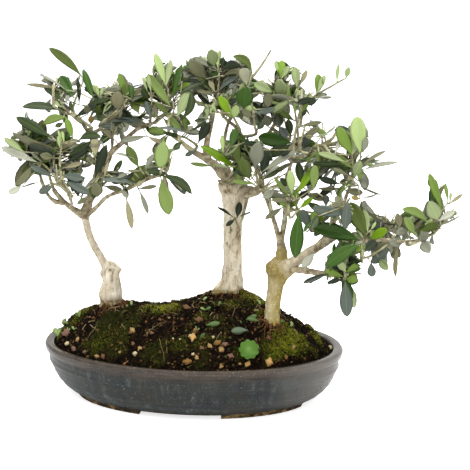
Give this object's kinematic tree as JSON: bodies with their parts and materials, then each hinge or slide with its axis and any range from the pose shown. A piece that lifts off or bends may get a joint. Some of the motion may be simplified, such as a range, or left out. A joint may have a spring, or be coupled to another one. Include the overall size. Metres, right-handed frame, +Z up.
{
  "type": "olive bonsai forest",
  "caption": "Olive bonsai forest: small olive trees with pale gnarled trunks and airy grey-green crowns on a mossy mound in an oval glazed pot.",
  "frame": {"origin": "under the middle of the whole plant's box, on the level that the pot's feet stand on", "axes": "+Z up, +X along the pot's length towards the long right-hand bough, -Y towards the front"},
  "size_m": [0.464, 0.2398, 0.3342],
  "materials": {
    "glazed_pot": "gloss",
    "soil": "matte",
    "bark": "matte",
    "foliage": "satin"
  },
  "bodies": {
    "root": {"pot": "glazed_pot", "soil": "soil", "trunk_left": "bark", "trunk_middle": "bark", "trunk_right": "bark", "left_crown": "bark", "left_low": "bark", "left_right": "bark", "left_outer": "bark", "left_top": "bark", "left_top_right": "bark", "left_back": "bark", "left_centre": "bark", "left_under": "bark", "middle_left": "bark", "middle_up": "bark", "middle_front": "bark", "middle_back": "bark", "middle_right": "bark", "middle_rear": "bark", "right_tall": "bark", "right_inner": "bark", "right_centre": "bark", "right_tall_side": "bark", "right_rear": "bark", "right_side": "bark", "right_rise": "bark", "right_mid": "bark", "right_far": "bark", "right_elbow": "bark", "right_low": "bark", "leaves_left_outer": "foliage", "leaves_left_under": "foliage", "leaves_left_low": "foliage", "leaves_left_crown": "foliage", "leaves_left_right": "foliage", "leaves_left_top": "foliage", "leaves_left_top_right": "foliage", "leaves_left_back": "foliage", "leaves_left_centre": "foliage", "leaves_middle_left": "foliage", "leaves_middle_up": "foliage", "leaves_middle_front": "foliage", "leaves_middle_back": "foliage", "leaves_middle_right": "foliage", "leaves_middle_rear": "foliage", "leaves_middle_head": "foliage", "leaves_middle_sprout": "foliage", "leaves_right_rise": "foliage", "leaves_right_tall": "foliage", "leaves_right_inner": "foliage", "leaves_right_centre": "foliage", "leaves_right_tall_side": "foliage", "leaves_right_rear": "foliage", "leaves_right_mid": "foliage", "leaves_right_far": "foliage", "leaves_right_elbow": "foliage", "leaves_right_low": "foliage"}
  },
  "joints": []
}
